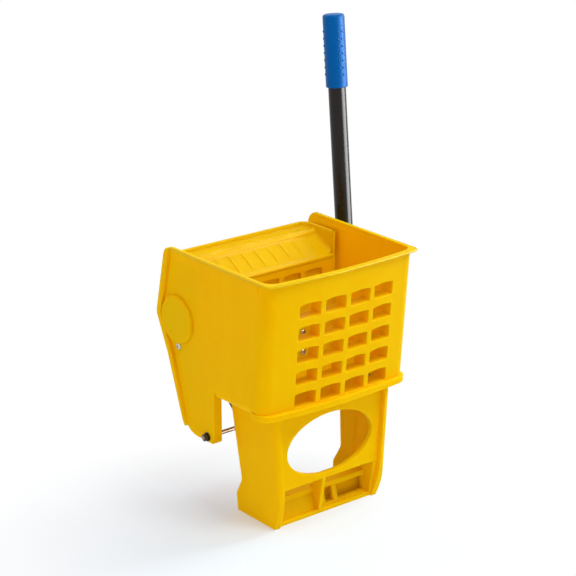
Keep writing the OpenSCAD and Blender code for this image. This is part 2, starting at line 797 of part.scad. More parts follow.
// Push-on clips on the rod, one at each end of a sector's hub
module rod_clips() {
    color("silver") both_sides() at_rod() {
        ring_x(hub_out, hub_out + clip_t, rod_d / 2 + 3, rod_d / 2 + fixed_fit);
        ring_x(hub_in - clip_t, hub_in, rod_d / 2 + 3, rod_d / 2 + fixed_fit);
    }
}
hub_out = arm_x + sector_hub_l / 2 + gap;
hub_in = arm_x - sector_hub_l / 2 - gap;

// Torsion spring on the tie rod: foot on the floor's edge, coil, and arm on the sector's peg.
// Each ring is [place, outward direction], with X first and the rod's axis at Y = Z = 0.
function coil_ring(a) =
    let (x = coil_inner + coil_pitch * (a - 180) / 360)
    [[x, coil_d / 2 * cos(a), coil_d / 2 * sin(a)], [0, cos(a), sin(a)]];
coil_steps = round((coil_end_angle - 180) / 45);
coil_rings = [for (i = [0:coil_steps]) coil_ring(180 + (coil_end_angle - 180) * i / coil_steps)];
foot_top = [coil_inner, spring_foot - rod_y, floor_z - 1 - rod_z];
arm_top = coil_rings[coil_steps][0] + spring_arm * [0, cos(arm_angle), sin(arm_angle)];
spring_rings = concat([[foot_top, coil_rings[0][1]]], coil_rings, [[arm_top, coil_rings[coil_steps][1]]]);
function ring_heading(i) =
    let (a = spring_rings[max(0, i - 1)][0])
    let (b = spring_rings[min(len(spring_rings) - 1, i + 1)][0])
    unit(b - a);
function ring_points(i) =
    let (t = ring_heading(i))
    let (u = unit(spring_rings[i][1] - t * (spring_rings[i][1] * t)))
    let (w = cross(t, u))
    [for (k = [0:5]) spring_rings[i][0] + wire_d / 2 * (cos(60 * k) * u + sin(60 * k) * w)];
spring_gap = min([for (i = [0:coil_steps]) for (k = [i + 5:1:coil_steps])
    norm(coil_rings[i][0] - coil_rings[k][0])]) - wire_d;
echo(spring_gap = spring_gap);

module return_spring() {
    count = len(spring_rings);
    at_rod() polyhedron(
        points = [for (i = [0:count - 1]) each ring_points(i)],
        faces = concat(
            [for (k = [1:4]) [0, k, k + 1]],
            [for (i = [0:count - 2]) for (k = [0:5]) [6 * i + k, 6 * i + 6 + k, 6 * i + (k + 1) % 6]],
            [for (i = [0:count - 2]) for (k = [0:5])
                [6 * i + (k + 1) % 6, 6 * i + 6 + k, 6 * i + 6 + (k + 1) % 6]],
            [for (k = [1:4]) [6 * count - 6, 6 * count - 6 + k + 1, 6 * count - 6 + k]]));
}

module left_return_spring() {
    color("gray") mirror([1, 0, 0]) return_spring();
}

module right_return_spring() {
    color("gray") return_spring();
}

gear_pin_x = arm_x - gear_w / 2 - gear_hub_l / 2;
hub_pin_x = hub_inner + 14;
clip_x = bush_end - gap - washer_t - gap - clip_t;
module axle() {
    color("lightgray") at_lever() difference() {
        bar_x(-axle_left, axle_right, axle_d / 2);
        bar_x(-big, big, axle_bore / 2);
        both_sides() ring_x(clip_x - fixed_fit, clip_x + clip_t + fixed_fit, axle_d, axle_d / 2 - groove_d);
        for (x = [-gear_pin_x, gear_pin_x, hub_pin_x])
            translate([x, 0, 0]) bar_y(-axle_d, axle_d, pin_d / 2 + fixed_fit);
    }
}

// Right drive gear, with its hub on the inner side; a gap between two teeth points at the tie rod
module drive_gear() {
    difference() {
        at_axle() union() {
            across(arm_x - gear_w / 2, arm_x + gear_w / 2) polygon([for (i = [0:drive_teeth - 1])
                each tooth(drive_teeth, mesh_angle + 180 + (i + 0.5) * 360 / drive_teeth)]);
            bar_x(arm_x - gear_w / 2 - gear_hub_l, arm_x, gear_hub_d / 2);
        }
        at_axle() bar_x(0, big, axle_d / 2 + fixed_fit);
        at_lever() translate([gear_pin_x, 0, 0]) bar_y(-big, big, pin_d / 2 + fixed_fit);
    }
}

module left_drive_gear() {
    color("dimgray") mirror([1, 0, 0]) drive_gear();
}

module right_drive_gear() {
    color("dimgray") drive_gear();
}

module gear_pins() {
    color("silver") at_lever() both_sides() translate([gear_pin_x, 0, 0])
        bar_y(-gear_hub_d / 2, gear_hub_d / 2, pin_d / 2);
}

module axle_washers() {
    color("silver") at_lever() both_sides()
        ring_x(bush_end - gap - washer_t, bush_end - gap, washer_d / 2, axle_d / 2 + fixed_fit);
}

module axle_circlips() {
    color("dimgray") at_lever() both_sides() difference() {
        ring_x(clip_x, clip_x + clip_t, axle_d / 2 + 3, axle_d / 2 - groove_d + fixed_fit);
        translate([clip_x - 1, -axle_d / 4, 0]) cube([clip_t + 2, axle_d / 2, axle_d]);
    }
}

module hub_washer() {
    color("silver") at_lever()
        ring_x(boss_face + gap, boss_face + gap + washer_t, washer_d / 2, axle_d / 2 + fixed_fit);
}

// Hub that clamps the axle and holds the lever tube in its socket
module lever_hub() {
    color("dimgray") at_lever() difference() {
        union() {
            bar_x(hub_inner, hub_outer, hub_boss_r);
            translate([lever_x, 0, 0]) cylinder(h = socket_top, r = hub_r);
            translate([lever_x, 0, bolt_up]) bar_x(-bolt_seat, bolt_seat, bolt_d);
        }
        bar_x(hub_inner - 1, axle_right + gap, axle_d / 2 + fixed_fit);
        translate([lever_x, 0, tube_foot]) cylinder(h = socket_top, r = tube_d / 2 + fixed_fit);
        translate([lever_x, 0, bolt_up]) bar_x(-big / 2, big / 2, bolt_d / 2 + fixed_fit);
        translate([hub_pin_x, 0, 0]) bar_y(-big / 2, big / 2, pin_d / 2 + fixed_fit);
    }
}

module hub_pin() {
    color("silver") at_lever() translate([hub_pin_x, 0, 0])
        bar_y(-hub_boss_r, hub_boss_r, pin_d / 2);
}

grip_end = grip_wall + 2;
module lever_tube() {
    color("lightgray") at_lever() translate([lever_x, 0, 0]) difference() {
        translate([0, 0, tube_foot]) cylinder(h = lever_l - grip_end - tube_foot, d = tube_d);
        cylinder(h = big, d = tube_d - 2 * tube_wall);
        translate([0, 0, bolt_up]) bar_x(-tube_d, tube_d, bolt_d / 2 + fixed_fit);
    }
}

module lever_bolt() {
    color("silver") at_lever() translate([lever_x, 0, bolt_up]) {
        bar_x(-bolt_seat - bolt_d, bolt_seat + 1, bolt_d / 2);
        translate([bolt_seat, 0, 0]) rotate([0, 90, 0])
            cylinder(h = bolt_d * nut_share * 0.8, r = bolt_d * nut_flats / sqrt(3), $fn = 6);
    }
}

module lever_nut() {
    color("silver") at_lever() translate([lever_x - bolt_seat, 0, bolt_up]) rotate([0, -90, 0])
        nut(bolt_d);
}

// Grip: a sleeve with a closed, slightly domed end
module lever_grip() {
    r = tube_d / 2 + grip_wall;
    color("dodgerblue") at_lever() translate([lever_x, 0, 0]) difference() {
        translate([0, 0, lever_l - grip_l]) rotate_extrude() polygon(rounded([
            [0, 0, 0], [r, 0, 1], [r, grip_l - 1.5, 3], [0, grip_l, 0]]));
        translate([0, 0, lever_l - grip_l - 1])
            cylinder(h = grip_l - grip_end + 1, r = tube_d / 2 + fixed_fit);
    }
}

// Press plate: an upright wall with a row of blind windows, and a funnel above it that is open to the front
press_sill = ledge_z - press_window_drop - window_h - window_rise;
ledge_y = plate_y + 7;
slope_top = [plate_y + 41, funnel_z - 12];
slope_angle = atan2(slope_top[1] - ledge_z - 2, slope_top[0] - ledge_y);
module funnel_plan(w, back, r) {
    linear_extrude(big) polygon(rounded([[-w, 0, 0], [w, 0, 0], [w, back, r], [-w, back, r]]));
}

module funnel() {
    difference() {
        intersection() {
            funnel_plan(plate_half, funnel_back, funnel_r);
            across(-plate_half, plate_half) polygon(rounded([
                [plate_y, ledge_z - 10, 0], [plate_y + plate_t, ledge_z - 10, 4],
                [slope_top[0] + 5, slope_top[1] - 4, 6], [funnel_back, funnel_z - 7, 3],
                [funnel_back, funnel_z, 0], [plate_y, funnel_z, 0]]));
        }
        intersection() {
            funnel_plan(plate_half - funnel_t, funnel_back - funnel_t, funnel_r - funnel_t);
            across(-plate_half, plate_half) polygon(rounded([
                [0, ledge_z, 0], [plate_y, ledge_z, 0], [ledge_y, ledge_z + 2, 2],
                [slope_top[0], slope_top[1], 3], [funnel_back - funnel_t - 1, slope_top[1] + 5, 3],
                [funnel_back, big, 0], [0, big, 0]]));
        }
    }
    translate([0, slope_top[0] + 3, slope_top[1] + 1])
        bar_x(funnel_t - plate_half + 1, plate_half - funnel_t - 1, bead_r);
    for (i = [-4:4])
        translate([i * flute_pitch, ledge_y + 2, ledge_z + 2])
            rotate([slope_angle - 90, 0, 0])
                cylinder(h = (slope_top[0] - ledge_y) / cos(slope_angle) - 2, r = flute_r);
}

module press_plate() {
    color("gold") difference() {
        union() {
            across(-plate_half, plate_half) polygon([
                [plate_y, plate_low], [plate_y + plate_t, plate_low],
                [plate_y + plate_t, ledge_z - 5], [plate_y, ledge_z - 5]]);
            across(-plate_half, plate_half) polygon([
                [plate_y, press_sill - press_window_t],
                [plate_y + press_window_d + press_window_t, press_sill - press_window_t],
                [plate_y + press_window_d + press_window_t, ledge_z - 5], [plate_y, ledge_z - 5]]);
            both_sides() across(plate_half - funnel_t, plate_half) polygon([
                [plate_y, plate_low], [plate_y + 3 * plate_t, plate_low],
                [plate_y + 3 * plate_t, ledge_z - 5], [plate_y, ledge_z - 5]]);
            funnel();
        }
        for (x = [-2:2])
            translate([x * press_pitch, 0, press_sill])
                along(plate_y - 1, plate_y + press_window_d) polygon(window(press_window_w));
        sector_screw_places() bar_y(-1, plate_t + 1, small_screw_d / 2 + fixed_fit);
    }
}

// Places of the sector screws on the plate's face
module sector_screw_places() {
    for (x = [-arm_x, arm_x])
        for (z = sector_screw_rise)
            translate([x, plate_y, rod_z + z]) children();
}

// Right gear sector: hub on the tie rod, bar and pad behind the plate, toothed rim and its rear bar
module gear_sector() {
    rim_in = sector_root_r - sector_rim;
    rear = mesh_angle + (sector_first - 0.5) * sector_step;
    front = mesh_angle + (sector_last + 0.5) * sector_step;
    hub = sector_hub_d / 2;
    peg_r = peg_d / 2 + wire_d / 2 + gap;
    difference() {
        at_rod() union() {
            difference() {
                union() {
                    across(arm_x - sector_w / 2, arm_x + sector_w / 2) polygon(concat(
                        [sector_root_r * [cos(rear), sin(rear)]],
                        [for (k = [sector_first:sector_last])
                            each tooth(sector_teeth, mesh_angle + k * sector_step)],
                        [sector_root_r * [cos(front), sin(front)]],
                        arc([0, 0], rim_in, front, rear, 12)));
                    across(arm_x - sector_w / 2, arm_x + sector_w / 2) polygon([
                        [-hub * 0.9, hub * 0.4], [plate_rear, pad_low], [plate_rear, pad_high],
                        [plate_rear + sector_bar, pad_high], [plate_rear + sector_bar, pad_low],
                        [hub * 0.9, -hub * 0.4]]);
                    across(arm_x - sector_w / 2, arm_x + sector_w / 2) polygon([
                        hub * [cos(rear + 80), sin(rear + 80)], hub * [cos(rear - 80), sin(rear - 80)],
                        (rim_in + 2) * [cos(rear), sin(rear)],
                        (rim_in + 2) * [cos(rear + 7), sin(rear + 7)]]);
                }
                translate([arm_x - sector_w, plate_rear - big, pad_low]) cube([2 * sector_w, big, big]);
            }
            bar_x(arm_x - sector_hub_l / 2, arm_x + sector_hub_l / 2, hub);
            translate([0, cos(coil_end_angle) * coil_d / 2, sin(coil_end_angle) * coil_d / 2])
                translate([0, cos(arm_angle) * (spring_arm - 6), sin(arm_angle) * (spring_arm - 6)])
                    translate([0, sin(arm_angle) * peg_r, -cos(arm_angle) * peg_r])
                        bar_x(coil_start - wire_d, arm_x, peg_d / 2);
        }
        at_rod() bar_x(0, big, pivot_bush_d / 2 + fixed_fit);
        sector_screw_places() bar_y(0, plate_t + small_screw_l, small_screw_d / 2 + fixed_fit);
    }
}

module left_gear_sector() {
    color("dimgray") mirror([1, 0, 0]) gear_sector();
}

module right_gear_sector() {
    color("dimgray") gear_sector();
}

module sector_screws() {
    color("silver") sector_screw_places() rotate([90, 0, 0])
        pan_screw(small_screw_d, small_screw_l, 2 * small_screw_d);
}

module pivot_bush() {
    half = sector_hub_l / 2;
    at_rod() ring_x(arm_x - half, arm_x + half, pivot_bush_d / 2, rod_d / 2 + running);
}

module left_pivot_bush() {
    color("ivory") mirror([1, 0, 0]) pivot_bush();
}

module right_pivot_bush() {
    color("ivory") pivot_bush();
}

basket();
stand();
stand_screws();
left_axle_bush();
right_axle_bush();
bush_screws();
bush_nuts();
tie_rod();
tie_rod_washers();
tie_rod_nuts();
rod_clips();
left_return_spring();
right_return_spring();
axle();
left_drive_gear();
right_drive_gear();
gear_pins();
axle_washers();
axle_circlips();
hub_washer();
lever_hub();
hub_pin();
lever_tube();
lever_bolt();
lever_nut();
lever_grip();
press_plate();
left_gear_sector();
right_gear_sector();
sector_screws();
left_pivot_bush();
right_pivot_bush();
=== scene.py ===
# Side press mop wringer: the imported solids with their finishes, and finer pieces for the plain ones.
import math

import bmesh
import bpy
from mathutils import Matrix, Vector


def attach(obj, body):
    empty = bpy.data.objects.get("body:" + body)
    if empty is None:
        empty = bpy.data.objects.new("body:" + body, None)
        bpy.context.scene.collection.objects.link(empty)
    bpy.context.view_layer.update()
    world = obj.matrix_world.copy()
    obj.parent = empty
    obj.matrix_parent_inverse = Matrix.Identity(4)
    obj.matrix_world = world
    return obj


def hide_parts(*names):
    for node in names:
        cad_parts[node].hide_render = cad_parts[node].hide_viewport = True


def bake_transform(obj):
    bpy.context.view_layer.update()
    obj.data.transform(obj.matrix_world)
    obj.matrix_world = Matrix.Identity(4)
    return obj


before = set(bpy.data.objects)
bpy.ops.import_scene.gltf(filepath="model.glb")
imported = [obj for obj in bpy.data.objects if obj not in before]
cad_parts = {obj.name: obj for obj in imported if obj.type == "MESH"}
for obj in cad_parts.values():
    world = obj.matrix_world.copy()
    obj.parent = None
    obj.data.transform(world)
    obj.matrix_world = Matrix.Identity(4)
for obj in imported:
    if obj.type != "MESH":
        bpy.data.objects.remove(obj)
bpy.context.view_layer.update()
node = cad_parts
scene = bpy.context.scene
scene.view_settings.view_transform = "Standard"

# Camera: a long lens that looks down at the left front corner of the basket. Its place, aim and lens were
# fitted to the photograph, so that the two pictures can be laid over each other.
lens, sensor = 120.4, 36
eye = Vector((-1.5618, -1.8619, 1.1745))
aim = Vector((-0.0202, 0.048, 0.3168))
camera = bpy.data.objects.new("camera", bpy.data.cameras.new("camera"))
camera.data.lens = lens
camera.data.sensor_width = sensor
camera.location = eye
camera.rotation_euler = (aim - eye).to_track_quat("-Z", "Y").to_euler()
scene.collection.objects.link(camera)
scene.camera = camera


# Floor and light: a white floor that keeps the soft shadow beside the stand, in a white room, with a lamp
# to the right, one above the front and a weak warm one to the left. A wide strip to the front right is seen
# in shiny surfaces only, and draws the bright line along the lever's tube.
class Wire:
    """A node socket that takes part in plain maths: each expression adds its Math node to the tree."""

    def __init__(self, tree, socket=None):
        self.tree = tree
        self.socket = socket

    def add(self, kind, settings=None, out=0, **sockets):
        """A node of that kind: its settings first, then its sockets by name, or by number as n0, n1."""
        made = self.tree.nodes.new(kind)
        for name, value in (settings or {}).items():
            setattr(made, name, value)
        for name, value in sockets.items():
            numbered = name[0] == "n" and name[1:].isdigit()
            target = made.inputs[int(name[1:]) if numbered else name.replace("_", " ")]
            if isinstance(value, Wire):
                self.tree.links.new(value.socket, target)
            else:
                target.default_value = value
        return Wire(self.tree, made.outputs[out] if made.outputs else None)

    def feed(self, shader, socket):
        """Links this value to a named socket of a shader."""
        self.tree.links.new(self.socket, shader.inputs[socket])

    def maths(self, operation, first, second):
        return self.add("ShaderNodeMath", {"operation": operation}, n0=first, n1=second)

    def __add__(self, other):
        return self.maths("ADD", self, other)

    def __radd__(self, other):
        return self.maths("ADD", other, self)

    def __sub__(self, other):
        return self.maths("SUBTRACT", self, other)

    def __rsub__(self, other):
        return self.maths("SUBTRACT", other, self)

    def __mul__(self, other):
        return self.maths("MULTIPLY", self, other)

    def __rmul__(self, other):
        return self.maths("MULTIPLY", other, self)

    def clipped(self, low, high):
        """This value as a share of the way from low to high, held between 0 and 1."""
        return self.add("ShaderNodeMapRange", {"clamp": True}, n0=self, n1=low, n2=high)

    def mixed(self, first, second):
        """The first colour where this value is 0, the second where it is 1."""
        return self.add("ShaderNodeMix", {"data_type": "RGBA"}, out=2, n0=self, n6=first, n7=second)


def seen_directly(wire):
    """1 on rays from the camera, a mirror or clear plastic, and 0 on rays that only carry light about."""
    seen = wire.add("ShaderNodeLightPath", out="Is Camera Ray")
    shine = wire.add("ShaderNodeLightPath", out="Is Glossy Ray")
    through = wire.add("ShaderNodeLightPath", out="Is Transmission Ray")
    return (seen + shine + through).clipped(0, 1)


floor_half = 6
shadow_place, shadow_core, shadow_edge = (-0.17, 0, 0), 0.06, 0.34
least_glow = 0.06
floor_mesh = bpy.data.meshes.new("floor")
floor_corners = [(-1, -1), (1, -1), (1, 1), (-1, 1)]
floor_mesh.from_pydata([(floor_half * x, floor_half * y, 0) for x, y in floor_corners], [], [(0, 1, 2, 3)])
floor = bpy.data.objects.new("floor", floor_mesh)
scene.collection.objects.link(floor)
floor_paint = bpy.data.materials.new("floor_paint")
floor_paint.use_nodes = True
floor_paint.node_tree.nodes.clear()
w = Wire(floor_paint.node_tree)
spot = w.add("ShaderNodeTexCoord", out="Object")
away = w.add("ShaderNodeVectorMath", {"operation": "DISTANCE"}, out="Value", n0=spot, n1=shadow_place)
matt = w.add("ShaderNodeBsdfDiffuse", Color=(0.845, 0.94, 1, 1))
glow = w.add("ShaderNodeEmission", Color=(1, 1, 1, 1), Strength=1)
share = least_glow + (1 - least_glow) * away.clipped(shadow_core, shadow_edge)
paint = w.add("ShaderNodeMixShader", n0=seen_directly(w) * share, n1=matt, n2=glow)
w.add("ShaderNodeOutputMaterial", Surface=paint)
floor.data.materials.append(floor_paint)

surround = bpy.data.worlds.new("surround")
scene.world = surround
surround.use_nodes = True
surround.node_tree.nodes.clear()
w = Wire(surround.node_tree)
room = w.add("ShaderNodeBackground", Color=(0.87, 0.83, 0.88, 1), Strength=0.71)
white = w.add("ShaderNodeBackground", Color=(1, 1, 1, 1), Strength=1)
sky = w.add("ShaderNodeMixShader", n0=seen_directly(w), n1=room, n2=white)
w.add("ShaderNodeOutputWorld", Surface=sky)


def softbox(name, place, target, width, height, power, colour=(1, 1, 1)):
    """A rectangular lamp of that size in metres and power in watts, aimed at a point and unseen itself."""
    lamp = bpy.data.objects.new(name, bpy.data.lights.new(name, "AREA"))
    lamp.data.shape = "RECTANGLE"
    lamp.data.size = width
    lamp.data.size_y = height
    lamp.data.energy = power
    lamp.data.color = colour
    lamp.location = place
    lamp.rotation_euler = (Vector(target) - Vector(place)).to_track_quat("-Z", "Y").to_euler()
    lamp.visible_camera = False
    scene.collection.objects.link(lamp)
    return lamp


lit_point, well, tube_middle = (0, 0.05, 0.25), (0, 0.08, 0.25), (0.175, 0.19, 0.62)
cool, warm = (0.87, 1, 1), (0.84, 0.34, 0.12)
softbox("key", (2.5, -0.35, 1.8), lit_point, 1.1, 1.1, 36, cool)
softbox("fill", (-2.4, 0.1, 1.5), lit_point, 1.6, 1.6, 8.5, warm)
softbox("top", (0.1, -0.95, 2.3), well, 0.8, 0.8, 22, (0.86, 0.97, 1))
strip = softbox("strip", (1.1, -0.77, 0.62), tube_middle, 1.1, 1.2, 68)
strip.visible_diffuse = False


# Stand: two legs, a front panel with an oval hole and a ribbed crossbar, moulded in one from yellow
# polypropylene. The mould leaves round edges, faint flow streaks and slight sink marks, and the edges are
# painted paler, partly as wear and partly as a painted highlight.
def moulded(name, colour, deep, rough, edge, shine=0.5, glow=0):
    """Moulded plastic: fine grain, sink marks, flow streaks, scuffs, round edges paler as wear and painted
    highlight.
    """
    made = bpy.data.materials.new(name)
    made.use_nodes = True
    body = made.node_tree.nodes["Principled BSDF"]
    w = Wire(made.node_tree)
    place = w.add("ShaderNodeTexCoord", out="Object")
    streak_place = w.add("ShaderNodeMapping", n0=place, Scale=(22, 22, 5))
    streaks = w.add("ShaderNodeTexNoise", n0=streak_place, Scale=1, Detail=4, Roughness=0.55,
                    Distortion=0.6)
    grain = w.add("ShaderNodeTexNoise", n0=place, Scale=1100, Detail=2, Roughness=0.6)
    sinks = w.add("ShaderNodeTexNoise", n0=place, Scale=13, Detail=1, Roughness=0.4)
    scuffs = w.add("ShaderNodeTexNoise", n0=place, Scale=70, Detail=6, Roughness=0.7, Distortion=1.5)
    round_edge = w.add("ShaderNodeBevel", {"samples": 6}, Radius=edge)
    flat_face = w.add("ShaderNodeNewGeometry", out="Normal")
    same = w.add("ShaderNodeVectorMath", {"operation": "DOT_PRODUCT"}, out="Value",
                 n0=round_edge, n1=flat_face)
    # Round edges are painted paler: partly wear, partly a painted highlight along the edges.
    worn_and_highlit_edges = (1 - same).clipped(0.02, 0.35)
    hue = streaks.clipped(0.3, 0.7).mixed((*deep, 1), (*colour, 1))
    pale = (*(min(1, c * 1.06 + 0.012) for c in colour), 1)
    tone = (worn_and_highlit_edges * 0.5 + scuffs.clipped(0.64, 0.8) * 0.25).clipped(0, 1).mixed(hue, pale)
    tone.feed(body, "Base Color")
    gloss = rough + (streaks - 0.5) * 0.12 + (grain - 0.5) * 0.1 + scuffs.clipped(0.6, 0.8) * 0.12
    gloss.feed(body, "Roughness")
    wavy = w.add("ShaderNodeBump", Strength=0.25, Distance=0.002, Height=sinks, Normal=round_edge)
    fine = w.add("ShaderNodeBump", Strength=0.12, Distance=0.00015, Height=grain, Normal=wavy)
    fine.feed(body, "Normal")
    body.inputs["IOR"].default_value = 1.49
    body.inputs["Specular IOR Level"].default_value = shine
    body.inputs["Specular Tint"].default_value = (*(0.1 + 0.9 * c / max(colour) for c in colour), 1)
    body.inputs["Subsurface Weight"].default_value = glow
    body.inputs["Subsurface Radius"].default_value = (1, 0.7, 0.04)
    body.inputs["Subsurface Scale"].default_value = 0.01
    return made


def dress(material, *names):
    """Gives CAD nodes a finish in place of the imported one."""
    for name in names:
        node[name].data.materials.clear()
        node[name].data.materials.append(material)


yellow = moulded("yellow_moulding", (0.955, 0.545, 0.001), (0.935, 0.51, 0.0008), 0.36, 0.0014, 0.012, 0.55)
dress(yellow, "stand")


# Basket: one large moulding of the same yellow plastic, with windows in its front wall and two wings
# behind. Its rim is rolled out to a round bead, which runs along both sides and round the bowed front.
def node_tree(name, **sockets):
    """An empty Geometry Nodes tree with named inputs besides its geometry."""
    tree = bpy.data.node_groups.new(name, "GeometryNodeTree")
    tree.interface.new_socket("Geometry", in_out="INPUT", socket_type="NodeSocketGeometry")
    for label, kind in sockets.items():
        tree.interface.new_socket(label, in_out="INPUT", socket_type="NodeSocket" + kind)
    tree.interface.new_socket("Geometry", in_out="OUTPUT", socket_type="NodeSocketGeometry")
    return tree


def grown(tree, start, **inputs):
    """The plain mesh that a tree makes from a starting mesh, with the tree's inputs given by name."""
    holder = bpy.data.objects.new(tree.name, start)
    scene.collection.objects.link(holder)
    modifier = holder.modifiers.new(tree.name, "NODES")
    modifier.node_group = tree
    for item in tree.interface.items_tree:
        if item.in_out == "INPUT" and item.name in inputs:
            modifier[item.identifier] = inputs[item.name]
    bpy.context.view_layer.update()
    made = bpy.data.meshes.new_from_object(holder.evaluated_get(bpy.context.evaluated_depsgraph_get()))
    bpy.data.objects.remove(holder)
    return made


def polyline(points):
    """A mesh of one line through points."""
    line = bpy.data.meshes.new("line")
    line.from_pydata(points, [(i, i + 1) for i in range(len(points) - 1)], [])
    return line


drawn = node_tree("drawn_wire", Radius="Float", Sides="Int", Finish="Material")
w = Wire(drawn)
route = w.add("GeometryNodeMeshToCurve", Mesh=w.add("NodeGroupInput", out="Geometry"))
ring = w.add("GeometryNodeCurvePrimitiveCircle", Resolution=w.add("NodeGroupInput", out="Sides"),
             Radius=w.add("NodeGroupInput", out="Radius"))
tube = w.add("GeometryNodeCurveToMesh", Curve=route, Profile_Curve=ring, Fill_Caps=True)
real = w.add("GeometryNodeRealizeInstances", Geometry=w.add("GeometryNodeSetShadeSmooth", Geometry=tube))
w.add("NodeGroupOutput", Geometry=w.add("GeometryNodeSetMaterial", Geometry=real,
                                        Material=w.add("NodeGroupInput", out="Finish")))


def piece(name, mesh):
    """An object for a mesh that is already in place."""
    made = bpy.data.objects.new(name, mesh)
    scene.collection.objects.link(made)
    return made


def carried(name, mesh, body, slot, *replaced):
    """A piece that rides on a body, and stands for CAD solids if any are named."""
    made = piece(name, mesh)
    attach(made, body)
    if replaced:
        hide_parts(*replaced)
    return made


rim_half = 0.1288
rim_front = -0.0536
rim_top = 0.367
rim_back = 0.168
rim_bow = 0.006
rim_corner = 0.0075
bead_radius = 0.002


def rim_route():
    """The rim's outer edge, from the left rear end round the bowed front to the right rear end."""
    across = rim_half - rim_corner
    bow = (across ** 2 + rim_bow ** 2) / (2 * rim_bow)
    corner_y = rim_front + bow - math.sqrt((bow - rim_corner) ** 2 - across ** 2)
    tilt = math.atan2(corner_y - rim_front - bow, across)
    height = rim_top - bead_radius
    side_steps, corner_steps, front_steps = 20, 12, 16
    right = []
    for i in range(side_steps):
        right.append(Vector((rim_half, rim_back - (rim_back - corner_y) * i / side_steps, height)))
    for i in range(corner_steps + 1):
        turn = tilt * i / corner_steps
        x = across + rim_corner * math.cos(turn)
        right.append(Vector((x, corner_y + rim_corner * math.sin(turn), height)))
    for i in range(1, front_steps + 1):
        turn = tilt + (-math.pi / 2 - tilt) * i / front_steps
        right.append(Vector((bow * math.cos(turn), rim_front + bow + bow * math.sin(turn), height)))
    left = [Vector((-p.x, p.y, p.z)) for p in right[:-1]]
    return left + right[::-1]


dress(yellow, "basket")
# A glossier copy of the yellow for the rim's bead and the funnel's skin; its darker colour is painted
# shade.
shaded_polished_yellow = moulded("yellow_polished", (0.82, 0.5, 0.0015), (0.8, 0.47, 0.001), 0.26, 0.0008, 0.2, 0.4)
carried("rim_bead", grown(drawn, polyline(rim_route()), Radius=bead_radius, Sides=16, Finish=shaded_polished_yellow),
        "frame", "yellow_plastic")


# Screws: zinc plated steel with pan heads and a cross recess. Four hold the basket on the stand, two the
# axle's bushes in the wings, and four the toothed sectors on the back of the press plate.
def metal(name, colour, rough, lines, edge, tarnish=(0.5, 0.42, 0.3)):
    """Bare or plated metal: draw lines with a scale in X, Y and Z, cloudy plating and round edges."""
    made = bpy.data.materials.new(name)
    made.use_nodes = True
    body = made.node_tree.nodes["Principled BSDF"]
    w = Wire(made.node_tree)
    place = w.add("ShaderNodeTexCoord", out="Object")
    drawn_place = w.add("ShaderNodeMapping", n0=place, Scale=lines)
    scratches = w.add("ShaderNodeTexNoise", n0=drawn_place, Scale=1, Detail=3, Roughness=0.6)
    clouds = w.add("ShaderNodeTexNoise", n0=place, Scale=260, Detail=4, Roughness=0.6, Distortion=0.8)
    pits = w.add("ShaderNodeTexVoronoi", n0=place, Scale=1500)
    round_edge = w.add("ShaderNodeBevel", {"samples": 4}, Radius=edge)
    dull = tuple(0.75 * c + 0.1 * t for c, t in zip(colour, tarnish))
    tone = (clouds.clipped(0.35, 0.7) * 0.8 + scratches * 0.2).mixed((*dull, 1), (*colour, 1))
    tone.feed(body, "Base Color")
    gloss = rough + (clouds - 0.5) * 0.2 + (scratches - 0.5) * 0.16 + (1 - pits.clipped(0, 0.3)) * 0.06
    gloss.feed(body, "Roughness")
    lined = w.add("ShaderNodeBump", Strength=0.2, Distance=0.0001, Height=scratches, Normal=round_edge)
    lined.feed(body, "Normal")
    body.inputs["Metallic"].default_value = 1
    return made


def lathe(profile, sides):
    """A closed turned shape from (radius, height) points, from its lower pole to its upper one."""
    work = bmesh.new()
    rings = []
    for radius, height in profile:
        count = sides if radius > 0 else 1
        turns = [2 * math.pi * i / sides for i in range(count)]
        rings.append([work.verts.new((radius * math.cos(t), radius * math.sin(t), height)) for t in turns])
    for low, high in zip(rings, rings[1:]):
        for i in range(sides):
            a, b = low[i % len(low)], low[(i + 1) % len(low)]
            c, d = high[(i + 1) % len(high)], high[i % len(high)]
            work.faces.new(list(dict.fromkeys((a, b, c, d))))
    bmesh.ops.recalc_face_normals(work, faces=work.faces)
    mesh = bpy.data.meshes.new("turned")
    work.to_mesh(mesh)
    work.free()
    return mesh


def prism(outline, low, high, taper=1):
    """A closed prism of an outline in X and Y, drawn in by taper at its lower end."""
    work = bmesh.new()
    bottom = [work.verts.new((x * taper, y * taper, low)) for x, y in outline]
    top = [work.verts.new((x, y, high)) for x, y in outline]
    work.faces.new(bottom[::-1])
    work.faces.new(top)
    for i in range(len(outline)):
        k = (i + 1) % len(outline)
        work.faces.new((bottom[i], bottom[k], top[k], top[i]))
    mesh = bpy.data.meshes.new("prism")
    work.to_mesh(mesh)
    work.free()
    return mesh


def carved(mesh, tool, operation):
    """A mesh cut by another one, or kept where they overlap."""
    blank = bpy.data.objects.new("blank", mesh)
    cutter = bpy.data.objects.new("cutter", tool)
    for made in (blank, cutter):
        scene.collection.objects.link(made)
    cut = blank.modifiers.new("cut", "BOOLEAN")
    cut.operation = operation
    cut.object = cutter
    cut.solver = "EXACT"
    bpy.context.view_layer.update()
    made = bpy.data.meshes.new_from_object(blank.evaluated_get(bpy.context.evaluated_depsgraph_get()))
    bpy.data.objects.remove(blank)
    bpy.data.objects.remove(cutter)
    return made


